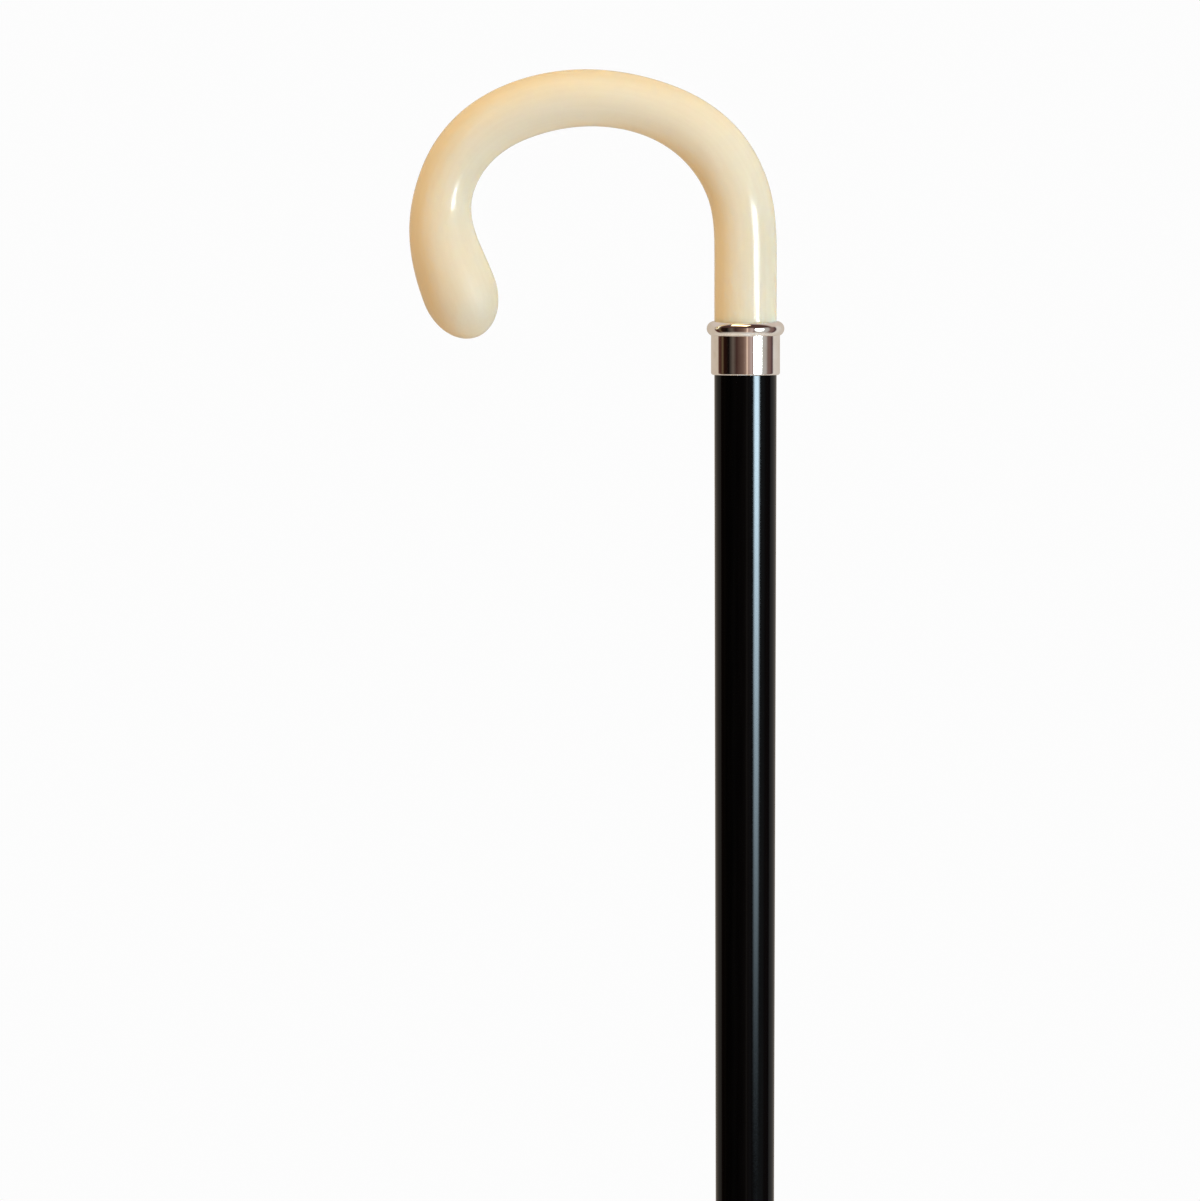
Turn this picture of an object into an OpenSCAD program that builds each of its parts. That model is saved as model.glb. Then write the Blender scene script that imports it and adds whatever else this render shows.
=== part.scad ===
// Crook-handled walking cane: a moulded crook, a plated collar, a tapered lacquered shaft and a
// rubber ferrule. The shaft stands on +Z with the middle of the ferrule's sole at the origin, and
// the crook bends over towards -X. Millimetres and degrees.

/* [Shaft] */
// Length of the wooden shaft
shaft_len = 816; // [600:1:900]
// Diameter of the shaft's top and of the handle's leg, which the collar joins
joint_d = 20; // [17:0.5:26]
// Diameter of the shaft's tip, inside the ferrule
tip_d = 16.5; // [13:0.5:19]
// Chamfer round the shaft's tip
tip_chamfer = 1; // [0.5:0.1:2]

/* [Crook] */
// Straight rise of the handle's leg above the collar
leg_rise = 29.5; // [26:0.5:60]
// Radius of the front bend, on the middle line
front_bend_r = 39.5; // [34:0.5:60]
// Angle that the front bend turns through
front_bend_a = 64; // [50:1:80]
// Radius of the flatter crown under the palm
crown_r = 63; // [45:0.5:90]
// Angle that the crown turns through
crown_a = 52; // [40:1:64]
// Radius of the nose bend
nose_bend_r = 35.5; // [28:0.5:50]
// Angle that the nose bend turns through
nose_bend_a = 85; // [70:1:95]
// Length of the straight nose after its bend
nose_len = 27; // [22:0.5:45]
// Length over which one bend eases into the next
bend_ease = 20; // [6:1:24]

/* [Crook thickness] */
// Thickness of the crown's waist, its thinnest place
waist_d = 18; // [14:0.1:22]
// Distance of the waist past the start of the crown
waist_at = 14; // [8:0.5:20]
// Thickness of the swell under the heel of the hand
swell_d = 18.7; // [15:0.1:24]
// Distance of the swell before the end of the crown
swell_before = 10; // [4:0.5:16]
// Thickness of the neck, half way round the nose bend
neck_d = 18.3; // [14:0.1:22]
// Thickness of the bulb on the nose
bulb_d = 24; // [20:0.5:30]
// Length of the dome that ends the bulb
dome_len = 16; // [12:0.5:20]

/* [Collar] */
// Height of the collar
collar_h = 17.2; // [15:0.1:30]
// Length of shaft inside the collar
collar_grip = 9; // [7:0.5:12]
// Wall of the collar's sleeve
collar_wall = 1; // [0.8:0.1:1.6]
// Radius of the round bead at the collar's top
bead_r = 2.4; // [2:0.1:3.5]
// Radius of the rounded bottom edge
collar_edge_r = 0.7; // [0.3:0.1:0.7]

/* [Joining stud] */
// Diameter of the steel stud inside the joint
stud_d = 8; // [6:0.5:10]
// Length of the stud, half in the handle and half in the shaft
stud_len = 60; // [40:2:64]
// Chamfer on the stud's ends
stud_chamfer = 0.8; // [0.4:0.1:1.2]
// Room for glue past each end of the stud
stud_end_gap = 0.8; // [0.3:0.1:2]

/* [Ferrule] */
// Length of shaft inside the ferrule
ferrule_grip = 26; // [18:0.5:40]
// Rubber wall round the shaft
ferrule_wall = 2.7; // [2:0.1:3.5]
// Radius of the rolled lip at the ferrule's mouth
lip_r = 1.6; // [1:0.1:2]
// Number of grip ribs round the ferrule
rib_count = 3; // [1:1:4]
// Height of each grip rib
rib_h = 0.7; // [0.4:0.1:1.2]
// Width of each grip rib at its foot
rib_w = 1.8; // [1.2:0.1:2.4]
// Distance from one grip rib to the next
rib_pitch = 3.6; // [3:0.1:4.5]
// Diameter of the ferrule's foot
foot_d = 30; // [28:0.5:40]
// Height of the foot's rim
foot_h = 5; // [3.5:0.5:8]
// Radius of the foot's rounded edges
foot_edge_r = 1.2; // [0.5:0.1:1.6]
// Radius of the hollow flare above the foot
flare_r = 8; // [5:0.5:12]
// Rubber between the washer and the ground
sole_t = 8; // [6:0.5:12]

/* [Tread] */
// Number of ring grooves in the sole
tread_count = 3; // [1:1:3]
// Radius of the flat land in the middle of the sole
tread_land_r = 3; // [2:0.1:3.5]
// Width of each groove
tread_groove_w = 1.6; // [1:0.1:2]
// Distance from one groove to the next
tread_pitch = 3.6; // [3:0.1:4]
// Depth of the grooves
tread_depth = 1.5; // [0.8:0.1:2.5]

/* [Ferrule washer] */
// Thickness of the steel washer under the shaft's tip
washer_t = 1.5; // [1:0.1:3]
// Hole in the washer
washer_hole_d = 6; // [4:0.5:8]

/* [Clearances] */
// Glue line round the stud and inside the collar
glue_gap = 0.05; // [0.02:0.01:0.15]
// Gap between the rubber and what it holds
rubber_gap = 0.05; // [0.02:0.01:0.15]

/* [Hidden] */
$fn = 96;

// Heights, from the ground up
tip_z = sole_t + washer_t;
ferrule_top_z = tip_z + ferrule_grip;
joint_z = tip_z + shaft_len;
collar_z = joint_z - collar_grip;
collar_top_z = collar_z + collar_h;

// The handle's middle line: distances run along it from the collar's top
leg_seat = collar_top_z - joint_z;
bend_r = [front_bend_r, crown_r, nose_bend_r];
bend_a = [front_bend_a, crown_a, nose_bend_a];
crown_start = bend_start(1);
nose_start = bend_start(2);
nose_end = bend_start(3);
dome_start = nose_end + nose_len - dome_len;
leg_straight = leg_rise - bend_ease / 2;

// Where the handle's thickness is set, and what it is there
thick_at = [
    crown_start / 2 + leg_rise / 2,
    crown_start + waist_at,
    nose_start - swell_before,
    (nose_start + nose_end) / 2,
    dome_start
];
thick_d = [joint_d, waist_d, swell_d, neck_d, bulb_d];

// How far a cut runs out past the face that it opens
cut_over = 1;

// Fineness of the handle's surface
ring_sides = 48;
ring_step = 3;
dome_rings = 9;
trace_step = 1;

// Radii of the ferrule, from the shaft's tip outwards
socket_r = tip_d / 2 + rubber_gap;
ferrule_r = socket_r + ferrule_wall;

// Flat that stays on the collar's bottom edge, inside its rounding
collar_rim = 0.2;

// Flat that stays on top of the foot, between the flare and the rounded edge
foot_rim = 0.6;

function arc_len(i) = bend_r[i] * bend_a[i] * PI / 180;
function bend_start(i) = i == 0 ? leg_rise : bend_start(i - 1) + arc_len(i - 1);

// Area under a ramp that climbs from 0 to 1 as u does, and stays there
function ramp_area(u) = u <= 0 ? 0 : u >= 1 ? u - 0.5 : u * u / 2;

// What bend i has turned by distance s, averaged over the easing length
function turned(i, s) =
    let (u = (s - bend_start(i)) / arc_len(i), e = bend_ease / arc_len(i) / 2)
    bend_a[i] * (ramp_area(u + e) - ramp_area(u - e)) / e / 2;

// Direction of the middle line at distance s, as its turn away from straight up
function heading(s) = turned(0, s) + turned(1, s) + turned(2, s);

// The middle line as [distance, x, height above the collar's top], by small straight steps
trace = [
    for (
        s = 0, x = 0, z = 0, a = heading(trace_step / 2);
        s <= nose_end + nose_len + trace_step;
        x = x - trace_step * sin(a),
        z = z + trace_step * cos(a),
        s = s + trace_step,
        a = heading(s + trace_step / 2)
    ) [s, x, z]
];
trace_x = [for (t = trace) [t[0], t[1]]];
trace_z = [for (t = trace) [t[0], t[2]]];
function line_x(s) = s <= 0 ? 0 : lookup(s, trace_x);
function line_z(s) = collar_top_z + (s <= 0 ? s : lookup(s, trace_z));

// A step from 0 to 1 with soft ends
function soft_step(t) = let (u = min(1, max(0, t))) u * u * (3 - 2 * u);
function thickness(s, i = 0) =
    i >= len(thick_at) - 1 ? thick_d[0]
    : thickness(s, i + 1)
        + (thick_d[i + 1] - thick_d[i])
        * soft_step((s - thick_at[i]) / (thick_at[i + 1] - thick_at[i]));

// Rings along the handle as [distance, radius], then the rings of its dome
body_steps = ceil((dome_start - leg_straight) / ring_step);
handle_rings = concat(
    [[-leg_seat, joint_d / 2]],
    [
        for (i = [0 : body_steps])
            let (s = leg_straight + (dome_start - leg_straight) * i / body_steps)
            [s, thickness(s) / 2]
    ],
    [
        for (i = [1 : dome_rings - 1])
            let (a = 90 * i / dome_rings)
            [dome_start + dome_len * sin(a), bulb_d / 2 * cos(a)]
    ]
);

// A ring of points square to the middle line
function ring(s, r) = [
    for (k = [0 : ring_sides - 1])
        let (side = 360 * k / ring_sides, a = heading(s))
        [
            line_x(s) + r * cos(side) * cos(a),
            r * sin(side),
            line_z(s) + r * cos(side) * sin(a)
        ]
];

module crook_body() {
    nose_tip = dome_start + dome_len;
    rings = len(handle_rings);
    points = concat(
        [for (q = handle_rings) each ring(q[0], q[1])],
        [[line_x(nose_tip), 0, line_z(nose_tip)]]
    );
    foot = [for (k = [0 : ring_sides - 1]) k];
    walls = [
        for (i = [0 : rings - 2], k = [0 : ring_sides - 1])
            let (a = i * ring_sides, next = (k + 1) % ring_sides)
            [a + k, a + ring_sides + k, a + ring_sides + next, a + next]
    ];
    cap = [
        for (k = [0 : ring_sides - 1])
            let (a = (rings - 1) * ring_sides)
            [a + k, len(points) - 1, a + (k + 1) % ring_sides]
    ];
    polyhedron(points, concat([foot], walls, cap), convexity = 6);
}

// One of the two holes that the stud is glued into, from the joint upwards
module stud_hole() {
    translate([0, 0, -cut_over])
    cylinder(d = stud_d + 2 * glue_gap, h = cut_over + stud_len / 2 + stud_end_gap);
}

module crook_handle() {
    color([0.91, 0.85, 0.72])
    difference() {
        crook_body();
        translate([0, 0, joint_z]) stud_hole();
    }
}

// Half section of the collar: a thin sleeve under a round bead, cut off by the bore
module collar_section() {
    bore_r = joint_d / 2 + glue_gap;
    bead_z = collar_h - bead_r;
    edge_r = min(collar_edge_r, collar_wall - collar_rim);
    intersection() {
        union() {
            translate([bore_r, edge_r]) square([collar_wall, bead_z - edge_r]);
            translate([bore_r, 0]) square([collar_wall - edge_r, bead_z]);
            translate([bore_r + collar_wall - edge_r, edge_r]) circle(edge_r);
            translate([bore_r, bead_z]) circle(bead_r);
        }
        translate([bore_r, 0]) square([2 * bead_r, collar_h]);
    }
}

module collar() {
    color([0.80, 0.78, 0.75])
    translate([0, 0, collar_z])
    rotate_extrude() collar_section();
}

module joining_stud() {
    color([0.62, 0.63, 0.65])
    translate([0, 0, joint_z - stud_len / 2])
    rotate_extrude() polygon([
        [0, 0],
        [stud_d / 2 - stud_chamfer, 0],
        [stud_d / 2, stud_chamfer],
        [stud_d / 2, stud_len - stud_chamfer],
        [stud_d / 2 - stud_chamfer, stud_len],
        [0, stud_len]
    ]);
}

// The shaft tapers between the ferrule and the collar, and runs straight inside them
module shaft() {
    color([0.03, 0.03, 0.035])
    difference() {
        translate([0, 0, tip_z])
        rotate_extrude() polygon([
            [0, 0],
            [tip_d / 2 - tip_chamfer, 0],
            [tip_d / 2, tip_chamfer],
            [tip_d / 2, ferrule_grip],
            [joint_d / 2, shaft_len - collar_grip],
            [joint_d / 2, shaft_len],
            [0, shaft_len]
        ]);
        translate([0, 0, joint_z]) mirror([0, 0, 1]) stud_hole();
    }
}

module ferrule_washer() {
    color([0.70, 0.71, 0.73])
    translate([0, 0, sole_t])
    difference() {
        cylinder(d = tip_d, h = washer_t);
        translate([0, 0, -cut_over]) cylinder(d = washer_hole_d, h = washer_t + 2 * cut_over);
    }
}

// Half section of the ferrule's foot, with round edges
module foot_section() {
    foot_r = foot_d / 2;
    square([foot_r - foot_edge_r, foot_h]);
    translate([0, foot_edge_r]) square([foot_r, foot_h - 2 * foot_edge_r]);
    for (y = [foot_edge_r, foot_h - foot_edge_r])
        translate([foot_r - foot_edge_r, y]) circle(foot_edge_r);
}

// The hollow flare that leaves the ferrule's wall upright and runs out over its foot
module flare_section() {
    flat_r = foot_d / 2 - foot_edge_r;
    reach = flat_r - foot_rim - ferrule_r;
    rise = sqrt(pow(flare_r, 2) - pow(flare_r - reach, 2));
    difference() {
        square([flat_r, foot_h + rise]);
        translate([ferrule_r + flare_r, foot_h + rise]) circle(flare_r);
    }
}

// A grip rib with sloping sides, rooted in the wall
module rib_section() {
    polygon([
        [-ferrule_wall / 2, -rib_w / 2],
        [0, -rib_w / 2],
        [rib_h, -rib_w / 4],
        [rib_h, rib_w / 4],
        [0, rib_w / 2],
        [-ferrule_wall / 2, rib_w / 2]
    ]);
}

module ferrule_section() {
    foot_section();
    flare_section();
    square([ferrule_r, ferrule_top_z - lip_r]);
    square([ferrule_r - lip_r / 2, ferrule_top_z]);
    translate([ferrule_r - lip_r / 2, ferrule_top_z - lip_r]) circle(lip_r);
    for (i = [1 : rib_count])
        translate([ferrule_r, ferrule_top_z - lip_r - i * rib_pitch]) rib_section();
}

module ferrule() {
    color([0.07, 0.07, 0.07])
    rotate_extrude() difference() {
        ferrule_section();
        translate([0, sole_t]) square([socket_r, ferrule_top_z]);
        for (i = [0 : tread_count - 1])
            translate([tread_land_r + i * tread_pitch, -cut_over])
                square([tread_groove_w, tread_depth + cut_over]);
    }
}

crook_handle();
collar();
joining_stud();
shaft();
ferrule_washer();
ferrule();
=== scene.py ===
"""The looks of a crook-handled walking cane: its finishes, its light and its camera.

Sizes are in millimetres, as they are written on a drawing, and MM turns them into metres.
The cane stands on +Z with its ferrule on the origin, and the crook bends over towards -X.
"""

import math

import bpy
import numpy as np
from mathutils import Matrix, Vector


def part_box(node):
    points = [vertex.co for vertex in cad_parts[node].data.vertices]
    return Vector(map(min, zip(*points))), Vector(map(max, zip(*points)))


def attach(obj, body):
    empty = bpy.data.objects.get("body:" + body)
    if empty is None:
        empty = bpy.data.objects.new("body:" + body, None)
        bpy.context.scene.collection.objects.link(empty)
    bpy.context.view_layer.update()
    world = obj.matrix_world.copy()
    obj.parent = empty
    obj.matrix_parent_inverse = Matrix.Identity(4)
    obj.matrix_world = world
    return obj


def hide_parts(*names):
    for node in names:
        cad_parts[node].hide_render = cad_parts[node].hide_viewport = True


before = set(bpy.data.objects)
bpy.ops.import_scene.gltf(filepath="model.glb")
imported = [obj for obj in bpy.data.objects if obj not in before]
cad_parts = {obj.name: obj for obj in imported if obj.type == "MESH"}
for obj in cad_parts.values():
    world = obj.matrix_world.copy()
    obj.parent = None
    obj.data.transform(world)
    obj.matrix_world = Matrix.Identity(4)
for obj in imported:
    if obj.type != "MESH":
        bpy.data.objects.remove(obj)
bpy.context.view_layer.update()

MM = 0.001

# Places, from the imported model
sole_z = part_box("ferrule")[0].z / MM
ferrule_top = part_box("ferrule")[1].z / MM
washer_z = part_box("ferrule_washer")[0].z / MM
tip_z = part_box("shaft")[0].z / MM
joint_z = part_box("shaft")[1].z / MM
collar_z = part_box("collar")[0].z / MM
collar_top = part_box("collar")[1].z / MM
stud_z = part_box("joining_stud")[0].z / MM
stud_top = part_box("joining_stud")[1].z / MM

# Shaft and leg
JOINT_R = 10.0
TIP_R = 8.25
TIP_CHAMFER = 1.0
FERRULE_GRIP = 26.0
EDGE_ROUND = 0.3

# The crook's bends as (radius, degrees), then its straight nose, in order from the collar's top
LEG_RISE = 29.5
BENDS = ((39.5, 64.0), (63.0, 52.0), (35.5, 85.0))
NOSE_LEN = 27.0
BEND_EASE = 20.0

# The crook's thickness, and what the last buffing takes off it
WAIST_D = 18.0
WAIST_AT = 14.0
SWELL_D = 18.7
SWELL_BEFORE = 10.0
NECK_D = 18.3
BULB_D = 24.0
DOME_LEN = 16.0
BUFFED = 0.01

# Where its gloss turns satin: from just before the last bend's end to just past the dome's start
SATIN_BEFORE = 2.0
SATIN_PAST = 4.0

# Collar
COLLAR_WALL = 1.0
BEAD_R = 2.4
COLLAR_EDGE_R = 0.7
COLLAR_RIM = 0.2
BEAD_LIP_R = 0.25
BEAD_LIP_ANGLE = 84.0

# Stud, with its rolled metric thread
STUD_R = 4.0
STUD_CHAMFER = 0.8
THREAD_PITCH = 1.25
THREAD_DEPTH = 0.68
THREAD_FLANK = 2.3
THREAD_CREST = 0.08
STUD_END_GAP = 0.8
GLUE_GAP = 0.05

# Ferrule and its washer
RUBBER_GAP = 0.05
FERRULE_WALL = 2.7
LIP_R = 1.6
LIP_INNER_R = 0.4
RIB_COUNT = 3
RIB_H = 0.7
RIB_W = 1.8
RIB_PITCH = 3.6
FOOT_R = 15.0
FOOT_H = 5.0
FOOT_EDGE_R = 1.2
FOOT_RIM = 0.6
FLARE_R = 8.0
SOLE_T = 8.0
TREAD_COUNT = 3
TREAD_LAND_R = 3.0
TREAD_GROOVE_W = 1.6
TREAD_PITCH = 3.6
TREAD_DEPTH = 1.5
TREAD_ROUND = 0.3
SEAM_H = 0.12
SEAM_HALF_ANGLE = 1.2
WASHER_HOLE_R = 3.0
WASHER_ROUND = 0.25

# How finely the meshes are cut: points round each piece, and the steps along it
CROOK_SIDES = 128
CROOK_STEP = 1.0
DOME_RINGS = 29
DOME_LAST_RING = 87.0
COLLAR_SIDES = 256
STUD_SIDES = 48
STEPS_PER_THREAD = 12
SHAFT_SIDES = 128
SHAFT_STEP = 6.0
WASHER_SIDES = 96
FERRULE_SIDES = 360
RIB_POINTS = 13
FLOOR_SIDES = 96

# How the photograph was framed: its size, the collar's top middle in it, and its scale there
PHOTO_W = 1200
PHOTO_H = 1201
COLLAR_PX = (745.3, 321.5)
MM_PER_PX = 0.3210
CAMERA_DISTANCE = 3500.0
LOOK_DOWN = 3.2
SENSOR = 36.0
CLIP_NEAR = 0.1
CLIP_FAR = 100.0


# Camera

def make_camera():
    """A long lens looking along +Y and slightly down, which frames the cane as photographed."""
    tilt = math.radians(LOOK_DOWN)
    target = Vector((
        (PHOTO_W / 2 - COLLAR_PX[0]) * MM_PER_PX,
        0,
        collar_top - (PHOTO_H / 2 - COLLAR_PX[1]) * MM_PER_PX / math.cos(tilt),
    ))
    back = Vector((0, -math.cos(tilt), math.sin(tilt)))
    data = bpy.data.cameras.new("camera")
    data.sensor_width = SENSOR
    data.lens = SENSOR * CAMERA_DISTANCE / (PHOTO_H * MM_PER_PX)
    data.clip_start = CLIP_NEAR
    data.clip_end = CLIP_FAR
    camera = bpy.data.objects.new("camera", data)
    bpy.context.scene.collection.objects.link(camera)
    camera.location = (target + back * CAMERA_DISTANCE) * MM
    camera.rotation_euler = (math.pi / 2 - tilt, 0, 0)
    bpy.context.scene.camera = camera


make_camera()


# Meshes

def mesh_object(name, points, faces, sharp_angle=35.0):
    """A smooth-shaded mesh from points in millimetres, with edges past sharp_angle kept crisp."""
    mesh = bpy.data.meshes.new(name)
    mesh.from_pydata((np.asarray(points) * MM).tolist(), [], faces)
    mesh.validate()
    mesh.update()
    mesh.shade_smooth()
    mesh.set_sharp_from_angle(angle=math.radians(sharp_angle))
    piece = bpy.data.objects.new(name, mesh)
    bpy.context.scene.collection.objects.link(piece)
    return piece


def grid_faces(rows, sides, wrap_rows=False):
    """Quads between rows of points that each go once round; wrap_rows joins the last to the first."""
    faces = []
    for i in range(rows if wrap_rows else rows - 1):
        a = i * sides
        b = (i + 1) % rows * sides
        for k in range(sides):
            n = (k + 1) % sides
            faces.append((a + k, a + n, b + n, b + k))
    return faces


def lathe(name, outline, sides, radius_at=None, sharp_angle=35.0):
    """Turns an outline of (radius, height) points about Z, going up its outside.

    An outline that starts and ends on the axis gives a solid with a pole at each end, and any
    other one gives a ring. radius_at, when given, changes the radii round each turn.
    """
    outline = np.asarray(outline, float)
    angle = np.arange(sides) * 2 * math.pi / sides
    on_axis = outline[0, 0] == 0 and outline[-1, 0] == 0
    turned = outline[1:-1] if on_axis else outline
    radius = np.repeat(turned[:, :1], sides, axis=1)
    height = np.repeat(turned[:, 1:], sides, axis=1)
    if radius_at:
        radius = radius_at(radius, height, angle[None, :])
    rings = np.stack([radius * np.cos(angle), radius * np.sin(angle), height], axis=2)
    points = rings.reshape(-1, 3).tolist()
    faces = grid_faces(len(turned), sides, wrap_rows=not on_axis)
    if on_axis:
        points += [(0, 0, outline[0, 1]), (0, 0, outline[-1, 1])]
        low_pole = len(points) - 2
        high_pole = len(points) - 1
        last = (len(turned) - 1) * sides
        for k in range(sides):
            n = (k + 1) % sides
            faces.append((low_pole, n, k))
            faces.append((high_pole, last + k, last + n))
    return mesh_object(name, points, faces, sharp_angle)


def arc(centre, radius, start, end, steps=8):
    """Points on an arc, from one angle to another in degrees, in the (radius, height) plane."""
    angles = np.radians(np.linspace(start, end, steps + 1))
    return [(centre[0] + radius * math.cos(a), centre[1] + radius * math.sin(a)) for a in angles]


def span(low, high, step):
    """Even steps from low to high, both included, each no longer than step."""
    return np.linspace(low, high, max(2, math.ceil((high - low) / step) + 1))


# The crook's middle line and thickness

bend_len = [radius * math.radians(turn) for radius, turn in BENDS]
bend_start = [LEG_RISE + sum(bend_len[:i]) for i in range(len(BENDS))]
crown_start = bend_start[1]
nose_start = bend_start[2]
nose_end = nose_start + bend_len[2]
handle_end = nose_end + NOSE_LEN
dome_start = handle_end - DOME_LEN


def ramp_area(u):
    """Area under a ramp that climbs from 0 to 1 as u does, and stays there."""
    return np.where(u <= 0, 0, np.where(u >= 1, u - 0.5, u * u / 2))


def heading(s):
    """The middle line's turn away from straight up at distance s, in radians, with eased bends."""
    total = 0
    for start, length, (_, turn) in zip(bend_start, bend_len, BENDS):
        u = (s - start) / length
        ease = BEND_EASE / length / 2
        total = total + math.radians(turn) * (ramp_area(u + ease) - ramp_area(u - ease)) / ease / 2
    return total


def middle_line(s, step=0.25):
    """X and height above the collar's top of the middle line, at each distance in s."""
    fine = np.arange(0, handle_end + step, step)
    turn = heading(fine + step / 2)
    x = np.concatenate([[0], np.cumsum(-step * np.sin(turn))[:-1]])
    z = np.concatenate([[0], np.cumsum(step * np.cos(turn))[:-1]])
    return np.where(s < 0, 0, np.interp(s, fine, x)), np.where(s < 0, s, np.interp(s, fine, z))


def crook_radius(s):
    """Half the crook's thickness at each distance in s, dome included."""
    places = (
        ((crown_start + LEG_RISE) / 2, 2 * JOINT_R),
        (crown_start + WAIST_AT, WAIST_D),
        (nose_start - SWELL_BEFORE, SWELL_D),
        ((nose_start + nose_end) / 2, NECK_D),
        (dome_start, BULB_D),
    )
    thick = np.full_like(s, places[0][1])
    for (s0, d0), (s1, d1) in zip(places, places[1:]):
        u = np.clip((s - s0) / (s1 - s0), 0, 1)
        thick = thick + (d1 - d0) * u * u * (3 - 2 * u)
    over = np.clip((s - dome_start) / DOME_LEN, 0, 1)
    return thick / 2 * np.sqrt(1 - over * over) - BUFFED


# The pieces' shapes

def store_vectors(piece, name, vectors):
    """Keeps one vector per point, in metres, for a material to read."""
    attribute = piece.data.attributes.new(name, "FLOAT_VECTOR", "POINT")
    attribute.data.foreach_set("vector", (np.asarray(vectors) * MM).astype(np.float32).ravel())


def make_crook():
    """The crook as one closed skin, with the stud's hole up its leg."""
    sides = CROOK_SIDES
    seat = joint_z - collar_top
    hole_r = STUD_R + GLUE_GAP
    hole_top = stud_top + STUD_END_GAP
    dome_turn = np.radians(np.linspace(0, DOME_LAST_RING, DOME_RINGS + 1))[1:]
    dome = dome_start + DOME_LEN * np.sin(dome_turn)
    along = np.concatenate([[seat], span(seat + EDGE_ROUND, dome_start, CROOK_STEP), dome])
    radius = crook_radius(along)
    radius[0] -= EDGE_ROUND
    side = np.arange(sides) * 2 * math.pi / sides
    x, z = middle_line(along)
    turn = heading(along)
    across = radius[:, None] * np.cos(side)
    depth = radius[:, None] * np.sin(side)
    skin = np.stack([
        x[:, None] + across * np.cos(turn)[:, None],
        depth,
        collar_top + z[:, None] + across * np.sin(turn)[:, None],
    ], axis=2).reshape(-1, 3)
    grain = np.stack([across, depth, np.repeat(along[:, None], sides, axis=1)], axis=2)
    hole = [
        (hole_r * math.cos(a), hole_r * math.sin(a), height)
        for height in (joint_z, hole_top)
        for a in side
    ]
    end_x, end_z = middle_line(np.array([handle_end - BUFFED]))
    poles = [(end_x[0], 0, collar_top + end_z[0]), (0, 0, hole_top)]
    points = np.concatenate([skin, hole, poles])
    last = len(skin) - sides
    low = len(skin)
    high = low + sides
    tip = high + sides
    hole_end = tip + 1
    faces = grid_faces(len(along), sides)
    for k in range(sides):
        n = (k + 1) % sides
        faces.append((tip, last + k, last + n))
        faces.append((k, low + k, low + n, n))
        faces.append((low + k, high + k, high + n, low + n))
        faces.append((hole_end, high + n, high + k))
    piece = mesh_object("crook", points, faces)
    inside = np.zeros((len(points) - len(skin), 3))
    inside[tip - len(skin)] = (0, 0, handle_end)
    store_vectors(piece, "grain", np.concatenate([grain.reshape(-1, 3), inside]))
    return piece


def make_collar():
    """A spun sleeve under a round bead, with its edges broken as polishing leaves them."""
    bore_r = JOINT_R + GLUE_GAP
    sleeve_r = bore_r + COLLAR_WALL
    bead_z = collar_top - BEAD_R
    meet = math.degrees(math.asin(COLLAR_WALL / BEAD_R)) - 90
    outline = [(bore_r, collar_z + COLLAR_RIM), (bore_r + COLLAR_RIM / 2, collar_z)]
    outline += arc((sleeve_r - COLLAR_EDGE_R, collar_z + COLLAR_EDGE_R), COLLAR_EDGE_R, -90, 0)
    outline += arc((bore_r, bead_z), BEAD_R, meet, BEAD_LIP_ANGLE, steps=48)
    outline += [(bore_r, collar_top - BEAD_LIP_R / 2)]
    return lathe("collar_sleeve", outline, COLLAR_SIDES)


def make_stud():
    """A threaded rod: a helix cut into a cylinder, faded out by the chamfer at each end."""

    def threaded(radius, level, angle):
        phase = (level / THREAD_PITCH - angle / (2 * math.pi)) % 1
        flank = np.clip(THREAD_FLANK * np.abs(phase - 0.5) - THREAD_CREST, 0, 1)
        end = np.minimum(level - stud_z, stud_top - level)
        return np.minimum(STUD_R - THREAD_DEPTH * flank, STUD_R - STUD_CHAMFER + end)

    outline = [(0, stud_z)]
    outline += [(STUD_R, z) for z in span(stud_z, stud_top, THREAD_PITCH / STEPS_PER_THREAD)]
    outline += [(0, stud_top)]
    return lathe("threaded_stud", outline, STUD_SIDES, threaded, sharp_angle=60.0)


def make_shaft():
    """The tapered stick, straight inside the collar and the ferrule, with the stud's hole."""
    hole_r = STUD_R + GLUE_GAP
    hole_z = stud_z - STUD_END_GAP
    grip_z = tip_z + FERRULE_GRIP
    outline = [(0, tip_z), (TIP_R - TIP_CHAMFER, tip_z), (TIP_R, tip_z + TIP_CHAMFER)]
    outline += [(TIP_R, z) for z in span(tip_z + 2 * TIP_CHAMFER, grip_z, SHAFT_STEP)]
    for z in span(grip_z, collar_z, SHAFT_STEP)[1:]:
        share = (z - grip_z) / (collar_z - grip_z)
        outline.append((TIP_R + (JOINT_R - TIP_R) * share, z))
    outline += [(JOINT_R, joint_z - EDGE_ROUND), (JOINT_R - EDGE_ROUND, joint_z)]
    outline += [(hole_r, joint_z), (hole_r, hole_z), (0, hole_z)]
    return lathe("lacquered_shaft", outline, SHAFT_SIDES)


def make_washer():
    """A stamped washer with rounded rims."""
    low = washer_z + WASHER_ROUND
    high = tip_z - WASHER_ROUND
    outer = TIP_R - WASHER_ROUND
    inner = WASHER_HOLE_R + WASHER_ROUND
    corners = (((outer, low), -90), ((outer, high), 0), ((inner, high), 90), ((inner, low), 180))
    outline = []
    for centre, start in corners:
        outline += arc(centre, WASHER_ROUND, start, start + 90, steps=3)
    return lathe("tip_washer", outline, WASHER_SIDES)


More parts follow.
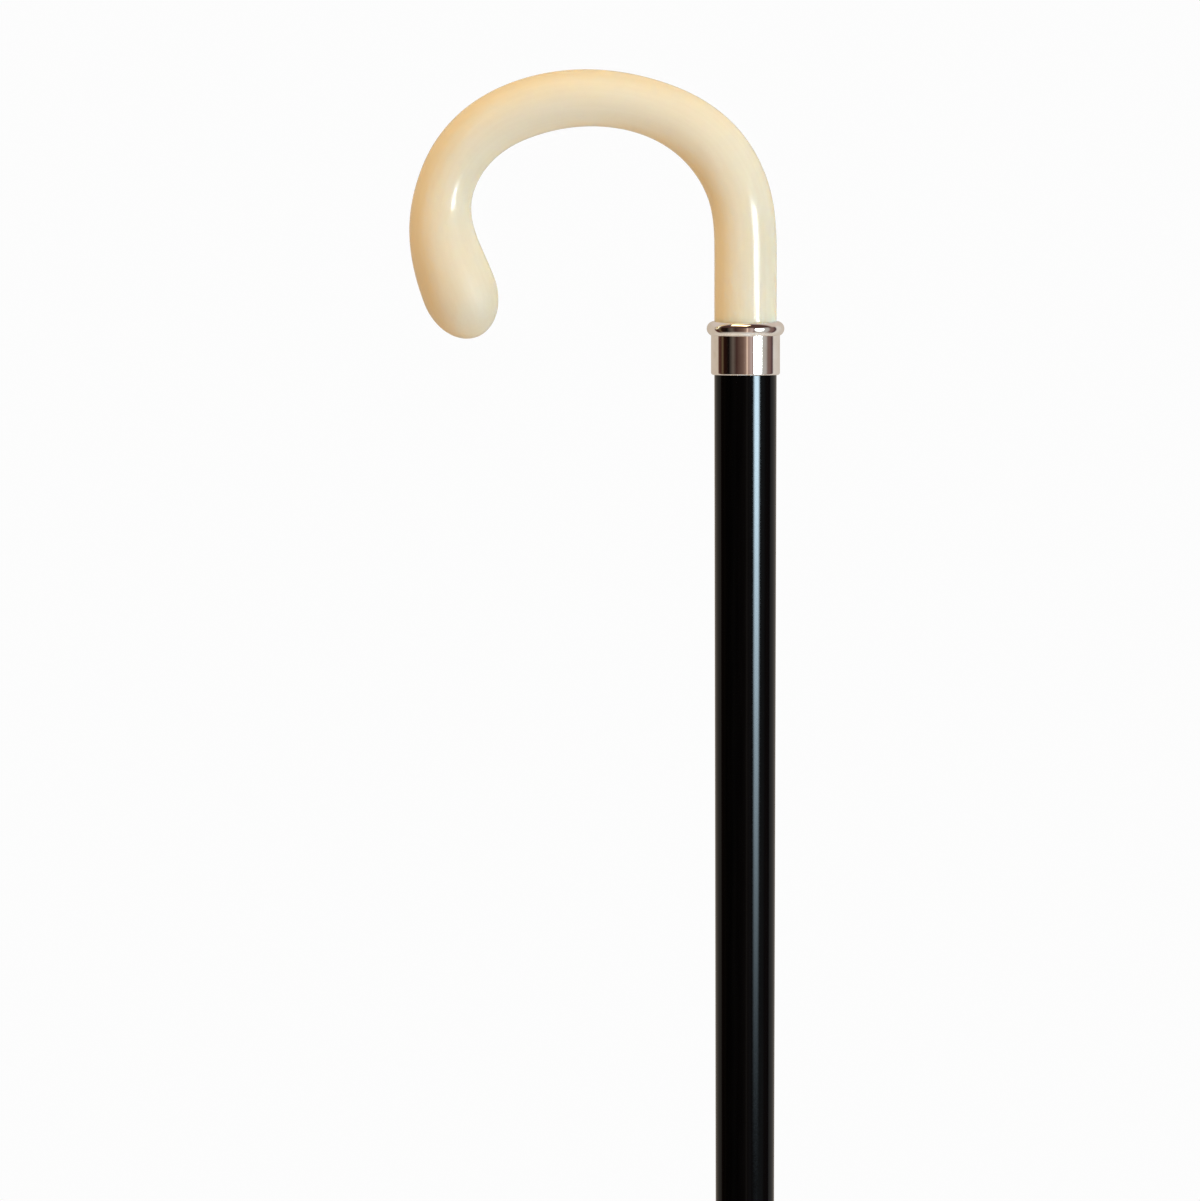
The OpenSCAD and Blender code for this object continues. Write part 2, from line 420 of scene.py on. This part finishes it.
def make_ferrule():
    """The moulded rubber ferrule, with round-edged ribs, ring treads and a faint mould seam."""
    socket_r = TIP_R + RUBBER_GAP
    wall_r = socket_r + FERRULE_WALL
    flat_r = FOOT_R - FOOT_EDGE_R
    foot_z = sole_z + FOOT_H
    floor_z = sole_z + TREAD_ROUND
    roof_z = sole_z + TREAD_DEPTH - TREAD_ROUND
    outline = [(0, sole_z)]
    for i in range(TREAD_COUNT):
        near = TREAD_LAND_R + i * TREAD_PITCH
        far = near + TREAD_GROOVE_W
        outline += arc((near - TREAD_ROUND, floor_z), TREAD_ROUND, -90, 0, steps=4)
        outline += arc((near + TREAD_ROUND, roof_z), TREAD_ROUND, 180, 90, steps=4)
        outline += arc((far - TREAD_ROUND, roof_z), TREAD_ROUND, 90, 0, steps=4)
        outline += arc((far + TREAD_ROUND, floor_z), TREAD_ROUND, 180, 270, steps=4)
    outline += arc((flat_r, sole_z + FOOT_EDGE_R), FOOT_EDGE_R, -90, 0)
    outline += arc((flat_r, foot_z - FOOT_EDGE_R), FOOT_EDGE_R, 0, 90)
    reach = flat_r - FOOT_RIM - wall_r
    rise = math.sqrt(FLARE_R ** 2 - (FLARE_R - reach) ** 2)
    turn_in = math.degrees(math.asin(rise / FLARE_R))
    outline += arc((wall_r + FLARE_R, foot_z + rise), FLARE_R, 180 + turn_in, 180, steps=12)
    for i in range(RIB_COUNT, 0, -1):
        middle = ferrule_top - LIP_R - i * RIB_PITCH
        for t in np.linspace(-1, 1, RIB_POINTS):
            bulge = RIB_H * (1 + math.cos(math.pi * t)) / 2
            outline.append((wall_r + bulge, middle + t * RIB_W / 2))
    outline += arc((wall_r - LIP_R / 2, ferrule_top - LIP_R), LIP_R, -60, 90, steps=14)
    inner = (socket_r + LIP_INNER_R, ferrule_top - LIP_INNER_R)
    outline += arc(inner, LIP_INNER_R, 90, 180, steps=6)
    outline += [(socket_r, sole_z + SOLE_T), (0, sole_z + SOLE_T)]

    def seamed(radius, level, angle):
        off = np.degrees(np.abs((angle + math.pi / 2) % math.pi - math.pi / 2))
        ridge = np.clip(1 - off / SEAM_HALF_ANGLE, 0, 1)
        outside = (radius > wall_r - RUBBER_GAP) & (radius < FOOT_R - SEAM_H)
        above = level > sole_z + FOOT_EDGE_R
        return radius + SEAM_H * ridge * (outside & above)

    return lathe("rubber_ferrule", outline, FERRULE_SIDES, seamed, sharp_angle=50.0)


# Materials, whose noises have their scale in waves to the metre

class Graph:
    """Short ways to build a tree of shader nodes."""

    def __init__(self, tree):
        self.nodes = tree.nodes
        self.links = tree.links

    def put(self, socket, value):
        """Gives a socket a value, or a link when the value is a socket itself."""
        if isinstance(value, bpy.types.NodeSocket):
            self.links.new(value, socket)
        elif socket.type == "RGBA":
            socket.default_value = (*value, 1)
        else:
            socket.default_value = value

    def add(self, kind, inputs, output=0, **settings):
        """Adds a node with its settings and inputs, and returns one of its outputs."""
        node = self.nodes.new(kind)
        for key, value in settings.items():
            setattr(node, key, value)
        for key, value in inputs.items():
            self.put(node.inputs[key], value)
        return node.outputs[output] if node.outputs else None

    def place(self, scale=(1, 1, 1)):
        """The point's place in metres, stretched along each axis by scale."""
        return self.stretch(self.add("ShaderNodeTexCoord", {}, "Object"), scale)

    def stretch(self, vector, scale):
        return self.add("ShaderNodeVectorMath", {0: vector, 1: scale}, operation="MULTIPLY")

    def axis(self, vector, letter):
        """One of a vector's three numbers, by its letter."""
        return self.add("ShaderNodeSeparateXYZ", {"Vector": vector}, letter)

    def noise(self, vector, scale, detail=3.0, roughness=0.5):
        inputs = {"Vector": vector, "Scale": scale, "Detail": detail, "Roughness": roughness}
        return self.add("ShaderNodeTexNoise", inputs)

    def ramp(self, value, low, high, to_low=0.0, to_high=1.0):
        """Maps value from low..high to to_low..to_high, and no further."""
        inputs = {
            "Value": value,
            "From Min": low,
            "From Max": high,
            "To Min": to_low,
            "To Max": to_high,
        }
        return self.add("ShaderNodeMapRange", inputs)

    def mix(self, share, first, second):
        """A colour between two, each a colour or a socket; the numbers are the colour sockets."""
        inputs = {0: share, 6: first, 7: second}
        return self.add("ShaderNodeMix", inputs, 2, data_type="RGBA")

    def math(self, operation, first, second=0.0):
        return self.add("ShaderNodeMath", {0: first, 1: second}, operation=operation)

    def bump(self, height, depth, under=None):
        """A normal from a height worth depth in millimetres, laid over another normal if given."""
        inputs = {"Height": height, "Distance": depth * MM, "Strength": 1.0}
        if under:
            inputs["Normal"] = under
        return self.add("ShaderNodeBump", inputs)


class Finish(Graph):
    """A material under construction, as a principled surface and what feeds it."""

    def __init__(self, name):
        self.material = bpy.data.materials.new(name)
        self.material.use_nodes = True
        super().__init__(self.material.node_tree)
        self.surface = self.nodes["Principled BSDF"]

    def set(self, **inputs):
        """Sets or links the surface's own inputs."""
        for key, value in inputs.items():
            self.put(self.surface.inputs[key.replace("_", " ")], value)


def ivory_resin():
    """Cream resin that imitates ivory: faint lengthwise streaks, and a gloss that turns satin."""
    deep = (0.836, 0.698, 0.458)
    pale = (0.852, 0.718, 0.482)
    cloudy = (0.825, 0.675, 0.430)
    finish = Finish("ivory_resin")
    along = finish.add("ShaderNodeAttribute", {}, "Vector", attribute_name="grain")
    streaks = finish.noise(finish.stretch(along, (1, 1, 0.03)), scale=900.0, detail=4.0, roughness=0.55)
    clouds = finish.noise(finish.stretch(along, (1, 1, 0.25)), scale=120.0, detail=2.0)
    rubbed = finish.noise(finish.stretch(along, (1, 1, 0.15)), scale=2600.0, detail=2.0)
    ripple = finish.noise(finish.stretch(along, (1, 1, 0.4)), scale=140.0, detail=1.0)
    colour = finish.mix(finish.ramp(streaks, 0.35, 0.65), deep, pale)
    colour = finish.mix(finish.ramp(clouds, 0.3, 0.75, 0.0, 0.3), colour, cloudy)
    satin_start = nose_end - SATIN_BEFORE
    satin_end = dome_start + SATIN_PAST
    satin = finish.ramp(finish.axis(along, "Z"), satin_start * MM, satin_end * MM)
    scratches = finish.math("MULTIPLY", satin, finish.noise(along, scale=7000.0, detail=2.0))
    relief = finish.bump(rubbed, depth=0.0015, under=finish.bump(ripple, depth=0.008))
    gloss = finish.ramp(rubbed, 0.3, 0.8, 0.05, 0.08)
    finish.set(
        Base_Color=colour,
        Roughness=finish.math("ADD", finish.ramp(satin, 0.0, 1.0, 0.0, 0.14), gloss),
        Normal=finish.bump(scratches, depth=0.07, under=relief),
        IOR=1.5,
        Specular_IOR_Level=0.085,
        Subsurface_Weight=1.0,
        Subsurface_Scale=0.004,
        Subsurface_Radius=(1.0, 0.6, 0.3),
    )
    finish.surface.subsurface_method = "BURLEY"
    return finish.material


def black_lacquer():
    """Black gloss lacquer over beech, whose pores and rays just show as a lengthwise ripple."""
    black = (0.0006, 0.0005, 0.0005)
    worn = (0.0016, 0.0013, 0.0012)
    finish = Finish("black_lacquer")
    pores = finish.noise(finish.place((1, 1, 0.04)), scale=700.0, detail=4.0, roughness=0.6)
    ripple = finish.noise(finish.place((1, 1, 0.12)), scale=90.0, detail=2.0)
    dust = finish.noise(finish.place(), scale=1500.0)
    finish.set(
        Base_Color=finish.mix(finish.ramp(pores, 0.35, 0.7), black, worn),
        Roughness=finish.ramp(dust, 0.3, 0.7, 0.07, 0.12),
        Normal=finish.bump(pores, depth=0.004, under=finish.bump(ripple, depth=0.05)),
        Specular_IOR_Level=0.13,
        Specular_Tint=(0.78, 0.90, 1.0),
    )
    return finish.material


def polished_nickel():
    """Bright nickel plate, with fine turning lines under the polish and a little warm tarnish."""
    bright = (0.94, 0.91, 0.87)
    dulled = (0.86, 0.81, 0.74)
    finish = Finish("polished_nickel")
    lines = finish.noise(finish.place((0.05, 0.05, 1)), scale=9000.0, detail=2.0)
    tarnish = finish.noise(finish.place(), scale=260.0)
    finish.set(
        Base_Color=finish.mix(finish.ramp(tarnish, 0.4, 0.75), bright, dulled),
        Metallic=1.0,
        Roughness=finish.ramp(tarnish, 0.3, 0.8, 0.04, 0.08),
        Normal=finish.bump(lines, depth=0.0002),
    )
    return finish.material


def plated_steel():
    """Dull zinc-plated steel for the fixings."""
    zinc = (0.62, 0.62, 0.60)
    dulled = (0.50, 0.49, 0.47)
    finish = Finish("plated_steel")
    grain = finish.noise(finish.place(), scale=1800.0, detail=4.0)
    patches = finish.noise(finish.place(), scale=350.0, detail=2.0)
    finish.set(
        Base_Color=finish.mix(finish.ramp(patches, 0.35, 0.7), zinc, dulled),
        Metallic=1.0,
        Roughness=finish.ramp(grain, 0.3, 0.7, 0.28, 0.42),
        Normal=finish.bump(grain, depth=0.004),
    )
    return finish.material


def black_rubber():
    """Moulded black rubber: a fine matt texture with a faint grey bloom, and scuffs low down."""
    black = (0.020, 0.020, 0.021)
    bloomed = (0.046, 0.045, 0.044)
    scuffed = (0.11, 0.105, 0.10)
    finish = Finish("black_rubber")
    skin = finish.noise(finish.place(), scale=2400.0, roughness=0.6)
    bloom = finish.noise(finish.place((1, 1, 0.6)), scale=160.0)
    scuff = finish.noise(finish.place((1, 1, 3)), scale=600.0, detail=4.0, roughness=0.65)
    near_floor = finish.ramp(finish.axis(finish.place(), "Z"), 0.0, FOOT_H * MM, 1.0, 0.0)
    worn = finish.math("MULTIPLY", near_floor, finish.ramp(scuff, 0.5, 0.7))
    colour = finish.mix(finish.ramp(bloom, 0.35, 0.75), black, bloomed)
    finish.set(
        Base_Color=finish.mix(worn, colour, scuffed),
        Roughness=finish.ramp(bloom, 0.3, 0.8, 0.48, 0.66),
        Normal=finish.bump(skin, depth=0.02),
        IOR=1.5,
    )
    return finish.material


# The cane

pieces = (
    (make_crook(), ivory_resin(), "crook_handle", "handle"),
    (make_collar(), polished_nickel(), "collar", "collar"),
    (make_stud(), plated_steel(), "joining_stud", "steel"),
    (make_shaft(), black_lacquer(), "shaft", "shaft"),
    (make_washer(), plated_steel(), "ferrule_washer", "steel"),
    (make_ferrule(), black_rubber(), "ferrule", "rubber"),
)
for piece, material, node_name, slot_name in pieces:
    piece.data.materials.append(material)
    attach(piece, "root")
    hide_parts(node_name)


# Floor

FLOOR_R = 950.0
FLOOR_SOLID = 0.15


def make_floor():
    """A pale round floor, solid out to a share of its radius, that fades into the white."""
    pale = (0.86, 0.86, 0.85)
    paler = (0.88, 0.88, 0.87)
    turns = [2 * math.pi * k / FLOOR_SIDES for k in range(FLOOR_SIDES)]
    rim = [(math.cos(turn) * FLOOR_R, math.sin(turn) * FLOOR_R, 0) for turn in turns]
    floor = mesh_object("floor", rim, [tuple(range(FLOOR_SIDES))])
    finish = Finish("pale_floor")
    mottle = finish.ramp(finish.noise(finish.place(), scale=6.0), 0.3, 0.7)
    grit = finish.noise(finish.place(), scale=900.0, detail=2.0)
    out = finish.add("ShaderNodeVectorMath", {0: finish.place()}, "Value", operation="LENGTH")
    finish.set(
        Base_Color=finish.mix(mottle, pale, paler),
        Roughness=0.7,
        Normal=finish.bump(grit, depth=0.05),
        Alpha=finish.ramp(out, FLOOR_R * MM * FLOOR_SOLID, FLOOR_R * MM, 1.0, 0.0),
    )
    floor.data.materials.append(finish.material)


# Light: a cool softbox at the front right, a warm lamp above the front left, a cool lamp behind,
# and a warm room that is dark in front of the cane and pale behind and under it

# The room as it lights, from straight below to straight above, and as the camera sees it
FILL_BELOW = (0.73, 0.565, 0.41)
FILL_ABOVE = (0.61, 0.445, 0.29)
SEEN_WHITE = (0.978, 0.978, 0.978)

# Its ceiling and ground as reflections show them. A direction's height runs from -1 straight
# below to 1 straight above, and its depth from -1 in front to 1 behind
DARK_CEILING = (0.08, 0.04, 0.035)
PALE_CEILING = (0.64, 0.55, 0.49)
PALE_GROUND = (0.66, 0.60, 0.54)
CEILING_HEIGHTS = (0.3, 0.5)
CEILING_DEPTHS = (-0.1, 0.15)
GROUND_HEIGHTS = (-0.5, -0.8)

# Its walls as reflections show them, as (azimuth, colour): 0 is at the camera and 90 at +X
ROOM_BANDS = (
    # A pale wall behind
    (-180, (0.58, 0.50, 0.42)),
    (-107, (0.60, 0.51, 0.42)),
    # Dark screens to the left, with a dull gap between them
    (-102, (0.10, 0.04, 0.03)),
    (-91, (0.05, 0.02, 0.015)),
    (-84, (0.13, 0.09, 0.05)),
    (-78, (0.02, 0.006, 0.004)),
    (-58, (0.004, 0.003, 0.003)),
    # The dim room in front, with a bright strip beside the camera
    (-43, (0.12, 0.095, 0.08)),
    (-31, (0.05, 0.023, 0.020)),
    (-8, (0.16, 0.10, 0.08)),
    (1, (0.30, 0.20, 0.16)),
    (5.2, (0.88, 0.67, 0.54)),
    (8.5, (0.36, 0.24, 0.20)),
    (20, (0.48, 0.38, 0.36)),
    # A dim wall behind the softbox and a grey one beyond it, then a dark screen
    (26, (0.22, 0.15, 0.14)),
    (60, (0.46, 0.45, 0.43)),
    (72, (0.42, 0.39, 0.37)),
    (80, (0.19, 0.125, 0.11)),
    (90, (0.18, 0.11, 0.10)),
    (102, (0.06, 0.03, 0.04)),
    # The pale wall again
    (108, (0.68, 0.64, 0.60)),
    (180, (0.58, 0.50, 0.42)),
)


def fade_lamp(data, sides, lower, upper, power):
    """Darkens a lamp to its edges.

    sides is the share of its half width over which it fades, lower and upper are the shares of
    its height over which it fades to those edges, and power bends the lower fade.
    """
    data.use_nodes = True
    graph = Graph(data.node_tree)
    spot = graph.add("ShaderNodeNewGeometry", {}, "Parametric")
    off = graph.math("ABSOLUTE", graph.math("SUBTRACT", graph.axis(spot, "X"), 0.5))
    up = graph.axis(spot, "Y")
    across = graph.ramp(off, 0.5, 0.5 - sides / 2)
    below = graph.math("POWER", graph.ramp(up, 0.0, lower), power)
    above = graph.ramp(up, 1.0, 1.0 - upper)
    strength = graph.math("MULTIPLY", across, graph.math("MULTIPLY", below, above))
    graph.put(graph.nodes["Emission"].inputs["Strength"], strength)


def make_lamp(
    name, azimuth, away, height, aim, size, level, colour, fade=None, lights=True, shines=True,
):
    """A rectangular lamp that faces the height aim on the cane.

    It stands at an azimuth, this far away and this high. A lamp that only lights leaves no
    reflection of its own, and one that only shines is nothing but a reflection.
    """
    turn = math.radians(azimuth)
    data = bpy.data.lights.new(name, "AREA")
    data.shape = "RECTANGLE"
    data.size = size[0] * MM
    data.size_y = size[1] * MM
    data.energy = level * math.pi * data.size * data.size_y
    data.color = colour
    if fade:
        fade_lamp(data, **fade)
    lamp = bpy.data.objects.new(name, data)
    bpy.context.scene.collection.objects.link(lamp)
    side = Vector((math.sin(turn), -math.cos(turn), 0)) * away
    lamp.location = (side + Vector((0, 0, height))) * MM
    facing = Vector((0, 0, aim * MM)) - lamp.location
    lamp.rotation_euler = facing.to_track_quat("-Z", "Y").to_euler()
    lamp.visible_camera = False
    lamp.visible_diffuse = lights
    lamp.visible_glossy = shines


def make_world():
    """The room: a smooth fill that lights, walls, ceiling and ground to reflect, white as seen."""
    world = bpy.data.worlds.new("studio")
    bpy.context.scene.world = world
    world.use_nodes = True
    graph = Graph(world.node_tree)
    graph.nodes.clear()
    way = graph.add("ShaderNodeTexCoord", {}, "Generated")
    depth = graph.axis(way, "Y")
    height = graph.axis(way, "Z")
    azimuth = graph.math("ARCTAN2", graph.axis(way, "X"), graph.math("MULTIPLY", depth, -1.0))
    turn = graph.ramp(azimuth, -math.pi, math.pi)
    walls = graph.add("ShaderNodeValToRGB", {0: turn}, "Color")
    bands = walls.node.color_ramp.elements
    while len(bands) < len(ROOM_BANDS):
        bands.new(0.5)
    for band, (degrees, colour) in zip(bands, ROOM_BANDS):
        band.position = (degrees + 180) / 360
        band.color = (*colour, 1)
    ceiling = graph.mix(graph.ramp(depth, *CEILING_DEPTHS), DARK_CEILING, PALE_CEILING)
    mirrored = graph.mix(graph.ramp(height, *CEILING_HEIGHTS), walls, ceiling)
    mirrored = graph.mix(graph.ramp(height, *GROUND_HEIGHTS), mirrored, PALE_GROUND)
    fill = graph.mix(graph.ramp(height, -1.0, 1.0), FILL_BELOW, FILL_ABOVE)
    path = graph.add("ShaderNodeLightPath", {}, "Is Camera Ray").node
    colour = graph.mix(path.outputs["Is Glossy Ray"], fill, mirrored)
    colour = graph.mix(path.outputs["Is Camera Ray"], colour, SEEN_WHITE)
    shade = graph.add("ShaderNodeBackground", {"Color": colour})
    graph.add("ShaderNodeOutputWorld", {"Surface": shade})


make_floor()
make_world()
make_lamp(
    "softbox", azimuth=41.5, away=1020.0, height=780.0, aim=780.0, size=(560.0, 460.0),
    level=26.0, colour=(0.26, 0.60, 1.0), shines=False,
    fade={"sides": 0.8, "lower": 0.40, "upper": 0.20, "power": 1.0},
)
make_lamp(
    "softbox_shine", azimuth=41.5, away=1000.0, height=732.0, aim=732.0, size=(500.0, 584.0),
    level=88.0, colour=(0.84, 0.96, 1.0), lights=False,
    fade={"sides": 0.6, "lower": 0.52, "upper": 0.16, "power": 2.0},
)
make_lamp(
    "top_lamp", azimuth=-28.0, away=390.0, height=1750.0, aim=collar_top, size=(500.0, 400.0),
    level=5.9, colour=(1.0, 0.94, 0.75), shines=False,
)
make_lamp(
    "top_shine", azimuth=-28.0, away=390.0, height=1740.0, aim=collar_top, size=(700.0, 420.0),
    level=3.2, colour=(1.0, 0.76, 0.44), lights=False,
)
make_lamp(
    "back_lamp", azimuth=145.0, away=1000.0, height=1000.0, aim=collar_top, size=(500.0, 700.0),
    level=5.0, colour=(0.60, 0.80, 0.94), shines=False,
)
bpy.context.scene.view_settings.view_transform = "Standard"
